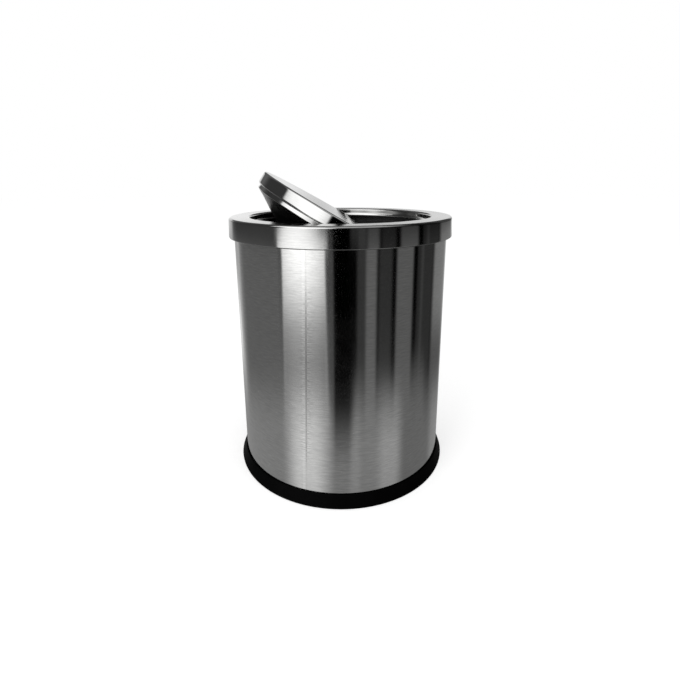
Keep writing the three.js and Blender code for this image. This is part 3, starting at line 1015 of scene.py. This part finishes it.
# %% Lid shells
def lid_top_path():
    """From the middle of the flat top out, round its edge and down the band to the rolled edge."""
    edge_r = LID_RADIUS - LID_BAND_FLARE
    hem_z = PIVOT_DEPTH - LID_BAND + LID_HEM
    top = straight((LID_HUB, PIVOT_DEPTH), (edge_r - LID_EDGE, PIVOT_DEPTH), 6)
    band_start = (edge_r, PIVOT_DEPTH - LID_EDGE)
    return outline_of(
        (0, PIVOT_DEPTH), top,
        arc(edge_r - LID_EDGE, PIVOT_DEPTH - LID_EDGE, LID_EDGE, 90, 0, 10),
        straight(band_start, (LID_RADIUS, hem_z), 6),
        arc(LID_RADIUS - LID_HEM, hem_z, LID_HEM, 0, -180, 14))


def lid_top_shell():
    """The grain runs straight over the flat top and round the axis elsewhere."""
    outline = sheet_outline(lid_top_path())
    points, faces, around, radius, along = revolve(outline, ring(LID_COLUMNS, BACK), closed=False)
    uv, grain = around_maps(around, radius, along)
    flat_uv, flat_grain = straight_maps(around, radius, along)
    on_top = along.max(axis=1) < LID_RADIUS - LID_BAND_FLARE - LID_EDGE + LID_MAP_EDGE
    uv[on_top], grain[on_top] = flat_uv[on_top], flat_grain[on_top]
    return open_lid(make_piece("lid_upper_shell", points, faces, uv, grain))


def lid_bottom_path():
    """The spigot, the thin band, the shoulder, the cone and the floor with its round bead."""
    spigot_r = LID_RADIUS - 2 * LID_HEM - SEAT_GAP
    seam_z = PIVOT_DEPTH - LID_BAND
    band_z = seam_z - LOWER_BAND
    band_r = spigot_r + LOWER_BAND_FLARE
    shoulder_r = band_r - PAN_SHOULDER
    shoulder_z = band_z - PAN_SHOULDER * math.tan(PAN_SHOULDER_ANGLE)
    floor_z = PIVOT_DEPTH - PAN_DEPTH
    wall = math.radians(PAN_WALL_ANGLE)
    floor_r = shoulder_r - (shoulder_z - floor_z) / math.tan(wall)
    bend_r = floor_r - PAN_BEND * math.tan(wall / 2)
    soft = LOWER_BAND_SOFT
    return outline_of(
        (spigot_r, seam_z + SPIGOT), (spigot_r, seam_z),
        (band_r, band_z + soft), (band_r - soft / 2, band_z),
        straight((band_r - soft, band_z - soft / 3), (shoulder_r, shoulder_z), 3),
        arc(bend_r, floor_z + PAN_BEND, PAN_BEND, PAN_WALL_ANGLE - 90, -90, 8),
        straight((PAN_BEAD + 2 * PAN_BEAD_RISE, floor_z), (PAN_BEAD + PAN_BEAD_RISE, floor_z)),
        (PAN_BEAD, floor_z + PAN_BEAD_RISE), (0, floor_z + PAN_BEAD_RISE))


def lid_bottom_shell():
    """The sheet lies to the left of the way out, so it is drawn upside down and turned back."""
    upside_down = sheet_outline(lid_bottom_path()[::-1] * (1, -1))
    return turned_piece("lid_lower_shell", upside_down[::-1] * (1, -1), LID_COLUMNS, BACK, closed=False)


place_piece(lid_top_shell(), "lid", "lid_top_shell", lid_steel)
lower_shell = lid_bottom_shell()
place_piece(lower_shell, "lid", "lid_bottom_shell", lid_steel)
# The cone below the band takes the dark finish: painted shade under the lid.
paint_shade_below(lower_shell, PIVOT_DEPTH - LID_BAND - LOWER_BAND - LID_SHADE_MARGIN)
open_lid(lower_shell)

# %% [markdown]
# ## The pivots
#
# A headed pin passes through a flanged bush in the collar and is held inside the lid's band by a
# washer and a nut. Each is a small outline turned round the pivot axis, which runs along Y.

# %% Pivot sizes
PIVOT_COLUMNS = 48
PIN_RADIUS = 1.5 * MM
PIN_HEAD_RADIUS = 3 * MM
PIN_HEAD_HEIGHT = 1.8 * MM
PIN_HEAD_ROUND = 0.9 * MM
BORE_RADIUS = PIN_RADIUS + SEAT_GAP
BUSH_RADIUS = BORE_RADIUS + 0.9 * MM
FLANGE_GAP = 0.5 * MM
WASHER_RADIUS = 3 * MM
NUT_CORNER_RADIUS = 3.1 * MM
NUT_CORNERS = 6
CHAMFER = 0.25 * MM
FINE_CHAMFER = 0.12 * MM
PIVOT_REACH = 0.08 * MM
FINE_REACH = 0.06 * MM


def along_y(name, outline, side, closed=True, corners=0):
    """An outline of (radius, distance) turned round the Y axis: (x, y, z) goes to (x, side z, -side y).

    With corners, the radius outside the bore grows from the flats to the corners of a polygon, as
    1 / cos of the turn from the nearest flat's middle.
    """
    points, faces, around, radius, distance = revolve(outline, ring(PIVOT_COLUMNS), closed)
    if corners:
        sector = 2 * math.pi / corners
        off = np.arctan2(points[:, 1], points[:, 0]) % sector - sector / 2
        outer = np.hypot(points[:, 0], points[:, 1]) > BORE_RADIUS + SEAT_GAP
        points[outer, :2] *= 1 / np.cos(off)[outer, None]
    x, y, z = points.T
    placed = np.column_stack([x, side * z, -side * y])
    return make_piece(name, placed, faces, *around_maps(around, radius, distance))


def node_span(node):
    """The node's lowest and highest distance from the middle along Y, and its largest radius."""
    low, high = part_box(node)
    near, far = sorted((abs(low.y), abs(high.y)))
    return near, far, (high.x - low.x) / 2


# %% Bushes
def make_bush(place, side):
    """A flanged bush, drawn from its bore outwards. It sits in the cap, so it stays level."""
    near, far, flange_r = node_span(f"{place}_pivot_bush")
    flange_end = OPENING_RADIUS - FLANGE_GAP
    section = np.array([
        (BORE_RADIUS, near + CHAMFER), (BORE_RADIUS, far), (BUSH_RADIUS - CHAMFER, far),
        (BUSH_RADIUS, far - CHAMFER), (BUSH_RADIUS, flange_end), (flange_r - CHAMFER, flange_end),
        (flange_r, flange_end - CHAMFER), (flange_r, near + CHAMFER), (flange_r - CHAMFER, near),
        (BORE_RADIUS + CHAMFER, near)])
    bush = along_y(f"{place}_bush", support(section, PIVOT_REACH, closed=True), side)
    move_points(bush, lambda points: points + (0, 0, PIVOT_HEIGHT))
    place_piece(bush, "cap", f"{place}_pivot_bush", bush_nylon)


# %% Pins
def make_pin(place, side):
    """A headed pin, drawn from its inner end along its side to the rounded head."""
    near, far, _ = node_span(f"{place}_pivot_pin")
    head_in = far - PIN_HEAD_HEIGHT
    round_r, round_y = PIN_HEAD_RADIUS - PIN_HEAD_ROUND, far - PIN_HEAD_ROUND
    section = outline_of(
        (0, near), (PIN_RADIUS - CHAMFER, near), (PIN_RADIUS, near + CHAMFER), (PIN_RADIUS, head_in),
        (PIN_HEAD_RADIUS - CHAMFER, head_in), (PIN_HEAD_RADIUS, head_in + CHAMFER),
        (PIN_HEAD_RADIUS, round_y), arc(round_r, round_y, PIN_HEAD_ROUND, 0, 90, 6), (0, far))[::-1]
    pin = along_y(f"{place}_pin", support(section, PIVOT_REACH), side, closed=False)
    place_piece(open_lid(pin), "lid", f"{place}_pivot_pin", pivot_steel)


# %% Washers and nuts, and both pivots
def make_fixing(place, side, kind, outer, corners=0):
    """A washer or a nut: a tube's section with chamfered outer corners."""
    near, far, _ = node_span(f"{place}_pivot_{kind}")
    section = np.array([
        (BORE_RADIUS, near), (BORE_RADIUS, far), (outer - FINE_CHAMFER, far), (outer, far - FINE_CHAMFER),
        (outer, near + FINE_CHAMFER), (outer - FINE_CHAMFER, near)])
    outline = support(section, FINE_REACH, closed=True)
    fixing = open_lid(along_y(f"{place}_{kind}", outline, side, corners=corners))
    place_piece(fixing, "lid", f"{place}_pivot_{kind}", pivot_steel)


for place, side in (("front", -1), ("rear", 1)):
    make_bush(place, side)
    make_pin(place, side)
    make_fixing(place, side, "washer", WASHER_RADIUS)
    make_fixing(place, side, "nut", NUT_CORNER_RADIUS * math.cos(math.pi / NUT_CORNERS), NUT_CORNERS)

# %% [markdown]
# ## The studio
#
# Steel is a mirror, so what it mirrors is most of its look. Round the bin stands a tent that only
# reflections see: dark cloth with soft cards of light at chosen angles. Its brightness is worked
# out on a sphere as a sum of cards, each with its own direction, width and soft edge. The lamps
# and the world light plain surfaces evenly, and the floor is white to the camera but keeps the
# bin's shadow.
#
# Directions are in degrees to the right of straight at the camera, as the bin sees them, and
# elevations are in degrees above the horizon.

# %% How a card is worked out
def smooth(value, start, end):
    """0 before start, 1 after end, and the curve 3t^2 - 2t^3 between."""
    t = np.clip((value - start) / (end - start), 0, 1)
    return t * t * (3 - 2 * t)


def apart(angle, centre):
    """The angle between two directions, in degrees, from 0 to 180."""
    return np.abs((angle - centre + 180) % 360 - 180)


def card(angle, centre, half_width, edge):
    """1 inside a card's half width, falling to 0 over its soft edge."""
    return 1 - smooth(apart(angle, centre), half_width, half_width + edge)


def ramp(value, start, end, low, high):
    """low before start, high after end, and a smooth way between."""
    return low + (high - low) * smooth(value, start, end)


def sum_of_cards(cards, angle, elevation):
    """The sum of brightness * card * the product of the card's ramps over the elevation."""
    total = 0
    for direction, half_width, edge, brightness, *ramps in cards:
        light = brightness * card(angle, direction, half_width, edge)
        for steps in ramps:
            light = light * ramp(elevation, *steps)
        total = total + light
    return total


# %% Walls, windows and the floor's bounce
DIM_ABOVE = (-1, 3, 1, 0.25)
SIDE_CARDS = (  # direction, half width, soft edge, brightness, then ramps: start, end, from, to
    (-100, 34, 10, 0.155, (-3, 1, 1, 0.3)),
    (16, 5, 4, 0.035, (-1, 1.5, 0, 1)),
    (140, 24, 8, 0.24, (-22, -12, 0.45, 1), DIM_ABOVE),
    (-11.5, 3.5, 2, 0.08, DIM_ABOVE),
    (20, 2, 4, 0.045, DIM_ABOVE),
    (30, 3.5, 4, 0.16, DIM_ABOVE),
    (45, 5, 4, 0.04, DIM_ABOVE),
    (67.3, 8.3, 3.5, 0.14, DIM_ABOVE),
    (88, 3, 3, 0.03, DIM_ABOVE),
    (99, 7, 6, 0.038, DIM_ABOVE))
CORNER_CARDS = (  # the far left corner of the room
    (-165, 6, 8, 0.3, (0, 5, 0, 1), (8, 13, 1, 0)),
    (-148, 6, 4, 0.4, (-27, -18, 0, 1), (-17, -5, 1, 0)),
    (-150, 8, 24, 0.25, (-3, 1, 1, 0.4)))
WALL_SHADE = ((-155, 12, 10, 0.5, (3, 7, 1, 0)),)  # the share of the wall's light that is lost
FLOOR_LEVEL = 0.3
FLOOR_CARDS = ((-37, 6, 26, 0.55), (14, 2, 7, 0.06), (54, 6, 14, 0.14), (92, 20, 15, -0.11))
FLOOR_DROP = ((1, 6, 9, 5.5), (86, 10, 10, -3))  # with degrees in the place of the brightness


def back_wall(angle, elevation):
    """The pale wall behind the bin: palest at the horizon, dark high up and low down.

    Its left end is in shade near the horizon.
    """
    level = ramp(elevation, 2, 6, 1.15, 0.65) + ramp(elevation, 8, 11, 0, 0.06)
    level = (level - ramp(elevation, 17, 20, 0, 0.68)) * ramp(elevation, -3, 1, 0.35, 1)
    return card(angle, 186, 26, 20) * level * (1 - sum_of_cards(WALL_SHADE, angle, elevation))


def floor_bounce(angle, elevation):
    """The light that comes back from the floor beside the bin, brightest where the key light falls.

    The bin shades the floor close to its foot, so the bounce is weaker from steeply below.
    """
    level = FLOOR_LEVEL + sum_of_cards(FLOOR_CARDS, angle, elevation)
    return level * ramp(elevation, -46, -38, 0.5, 1)


# %% The key light
KEY_LEVEL = 1.72
KEY_FOOT = -5
# The places of its sides: the direction at each elevation.
KEY_LEFT = {-5: -58, 0: -59, 1.5: -64, 5: -64, 12: -61, 26: -59, 33: -61, 36: -72, 50: -76}
KEY_RIGHT = {
    -5: -16.5, -2.5: -16.5, 0.5: -12, 1.5: -13, 3: -18, 6: -16, 18: -10.7, 25: -4, 33: -8, 42: -16, 60: -20}


def key_side(places, elevation):
    """The direction of one side of the key light, by straight lines between its places."""
    return np.interp(elevation, list(places), list(places.values()))


def key_card(angle, elevation):
    """The key light: a soft box on the left whose sides bend as it rises and whose foot fades.

    It is brightest in its middle, by 1 - 0.35 offset^2, and pinched just above the horizon, where
    its stand's cloth hangs. Below its foot it grows a little wider downwards.
    """
    low = np.maximum(KEY_FOOT - elevation, 0)
    left = key_side(KEY_LEFT, elevation) - 0.15 * low
    right = key_side(KEY_RIGHT, elevation) + 0.11 * low
    offset = (angle - (left + right) / 2 + 1) / (right - left) * 2
    pinch = smooth(elevation, 0.5, 2.9) * ramp(elevation, 12, 15, 1, 0)
    face = 1 - 0.35 * offset**2 - pinch * (0.25 + 0.35 * offset**2)
    outer = left - ramp(elevation, 30, 36, 2.5, 6.5)
    inner = left + 12 * smooth(elevation, 0, 1.5) * ramp(elevation, 28, 34, 1, 0)
    soft = 2.5 + 0.15 * np.clip(elevation - 5, 0, 20)
    inside = smooth(angle, outer, inner) * (1 - smooth(angle, right, right + soft))
    height = ramp(elevation, -19, -4, 0.2, 1) * ramp(elevation, 52, 62, 1, 0)
    return KEY_LEVEL * inside * np.clip(face, 0, 1) * height


# %% The tent of cards
TENT_RADIUS = 1.4
TENT_HEIGHT = 0.14
TENT_COLUMNS = 720
TENT_ROWS = 181
SKY_LEVEL = 0.52
SKY_BEHIND = 0.22
SKY_DEPTH = 35


def tent_brightness(angle, elevation):
    """The walls and cards above, the floor's bounce below, and a soft grey sky overhead.

    In front, the photographer's side of the floor is darker, so the bounce starts lower there. The
    sky reaches lower in front, and is dimmer behind the bin: overhead is the angle in the
    front-to-back plane, which is atan2(sin e, cos e cos a) and 90 degrees straight up.
    """
    drop = sum_of_cards(FLOOR_DROP, angle, elevation)
    bounce = 1 - smooth(elevation + drop, -33, -22)
    up, turn = np.radians(elevation), np.radians(angle)
    overhead = np.degrees(np.arctan2(np.sin(up), np.cos(up) * np.cos(turn)))
    sky_start = 50 - 25 * card(angle, 0, 50, 60)
    sky = smooth(elevation, sky_start, sky_start + SKY_DEPTH)
    sky = sky * ramp(overhead, 82, 98, SKY_LEVEL, SKY_BEHIND)
    walls = sum_of_cards(SIDE_CARDS + CORNER_CARDS, angle, elevation)
    walls = walls + key_card(angle, elevation) + back_wall(angle, elevation)
    round_bin = walls * (1 - bounce) + floor_bounce(angle, elevation) * bounce
    return np.maximum(round_bin * ramp(elevation, 60, 80, 1, 0), sky)


def bare_material(name):
    """A material with only its output. Gives the material, its tree and the Surface socket."""
    material = bpy.data.materials.new(name)
    material.use_nodes = True
    tree = material.node_tree
    tree.nodes.clear()
    return material, tree, add_node(tree, "ShaderNodeOutputMaterial").inputs["Surface"]


def add_tent():
    """A sphere seen from inside, whose points carry their brightness."""
    latitude = np.radians(np.linspace(-90, 90, TENT_ROWS))
    outline = np.column_stack([TENT_RADIUS * np.cos(latitude), TENT_RADIUS * np.sin(latitude)])
    points, faces, *_ = revolve(outline, ring(TENT_COLUMNS), closed=False)
    camera_angle = math.degrees(math.atan2(CAMERA_PLACE[1], CAMERA_PLACE[0]))
    angle = np.degrees(np.arctan2(points[:, 1], points[:, 0])) - camera_angle
    elevation = np.degrees(np.arcsin(points[:, 2] / TENT_RADIUS))
    level = tent_brightness((angle + 180) % 360 - 180, elevation)
    mesh = bpy.data.meshes.new("studio_tent")
    mesh.from_pydata(points + (0, 0, TENT_HEIGHT), [], faces.tolist())
    shade = mesh.attributes.new("brightness", "FLOAT", "POINT")
    shade.data.foreach_set("value", level.astype(np.float32))
    tent = add_object("studio_tent", mesh)
    material, tree, surface = bare_material("tent_cards")
    place = add_node(tree, "ShaderNodeAttribute", attribute_name="brightness")
    light = add_node(tree, "ShaderNodeEmission")
    tree.links.new(place.outputs["Fac"], light.inputs["Strength"])
    tree.links.new(light.outputs[0], surface)
    material.cycles.emission_sampling = "NONE"
    mesh.materials.append(material)
    for ray in ("camera", "diffuse", "shadow", "transmission", "volume_scatter"):
        setattr(tent, f"visible_{ray}", False)
    print("tent brightness from", round(float(level.min()), 3), "to", round(float(level.max()), 2))


add_tent()

# %% The floor
FLOOR_RADIUS = 8.0
FLOOR_SIDES = 96
FLOOR_COLOUR = 0.85
WORLD_LEVEL = 0.6


def add_floor():
    """A pale disc. To the camera it adds just enough light of its own to be white where unshaded."""
    bpy.ops.mesh.primitive_circle_add(vertices=FLOOR_SIDES, radius=FLOOR_RADIUS, fill_type="NGON")
    floor = bpy.context.object
    floor.name = "studio_floor"
    floor.visible_glossy = False
    material, tree, surface = bare_material("pale_floor")
    plain = add_node(tree, "ShaderNodeBsdfDiffuse", Color=(*grey(FLOOR_COLOUR), 1))
    path = add_node(tree, "ShaderNodeLightPath")
    lift = add_node(tree, "ShaderNodeEmission")
    amount = 1 - WORLD_LEVEL * FLOOR_COLOUR
    tree.links.new(times(tree, path.outputs["Is Camera Ray"], amount), lift.inputs["Strength"])
    both = add_node(tree, "ShaderNodeAddShader")
    tree.links.new(plain.outputs[0], both.inputs[0])
    tree.links.new(lift.outputs[0], both.inputs[1])
    tree.links.new(both.outputs[0], surface)
    floor.data.materials.append(material)


add_floor()
print("floor radius", FLOOR_RADIUS, "m")

# %% The white background and the lamps
LAMPS = (  # name, place, watts
    ("key_lamp", (-1.1, -1.2, 1.5), 9),
    ("fill_lamp", (1.3, -0.9, 1.1), 4))
LAMP_SIZE = 0.9


def set_world():
    """White to the camera and to reflections, and a plain level for everything else."""
    world = bpy.data.worlds.new("studio")
    bpy.context.scene.world = world
    world.use_nodes = True
    tree = world.node_tree
    backdrop = tree.nodes["Background"]
    backdrop.inputs["Color"].default_value = (1, 1, 1, 1)
    path = add_node(tree, "ShaderNodeLightPath")
    seen = maths(tree, "MAXIMUM", path.outputs["Is Camera Ray"], path.outputs["Is Glossy Ray"])
    seen = maths(tree, "MAXIMUM", seen, path.outputs["Is Transmission Ray"])
    tree.links.new(fit_range(tree, seen, 0.0, 1.0, WORLD_LEVEL, 1.0), backdrop.inputs["Strength"])


def add_lamp(name, place, watts):
    """A soft square lamp that faces the bin and isn't mirrored by it."""
    lamp = add_object(name, bpy.data.lights.new(name, "AREA"))
    lamp.data.size = LAMP_SIZE
    lamp.data.energy = watts
    lamp.location = place
    aim = Vector((0, 0, TENT_HEIGHT)) - lamp.location
    lamp.rotation_euler = aim.to_track_quat("-Z", "Y").to_euler()
    lamp.visible_glossy = False
    print(name, watts, "W")


set_world()
for lamp_name, lamp_place, watts in LAMPS:
    add_lamp(lamp_name, lamp_place, watts)
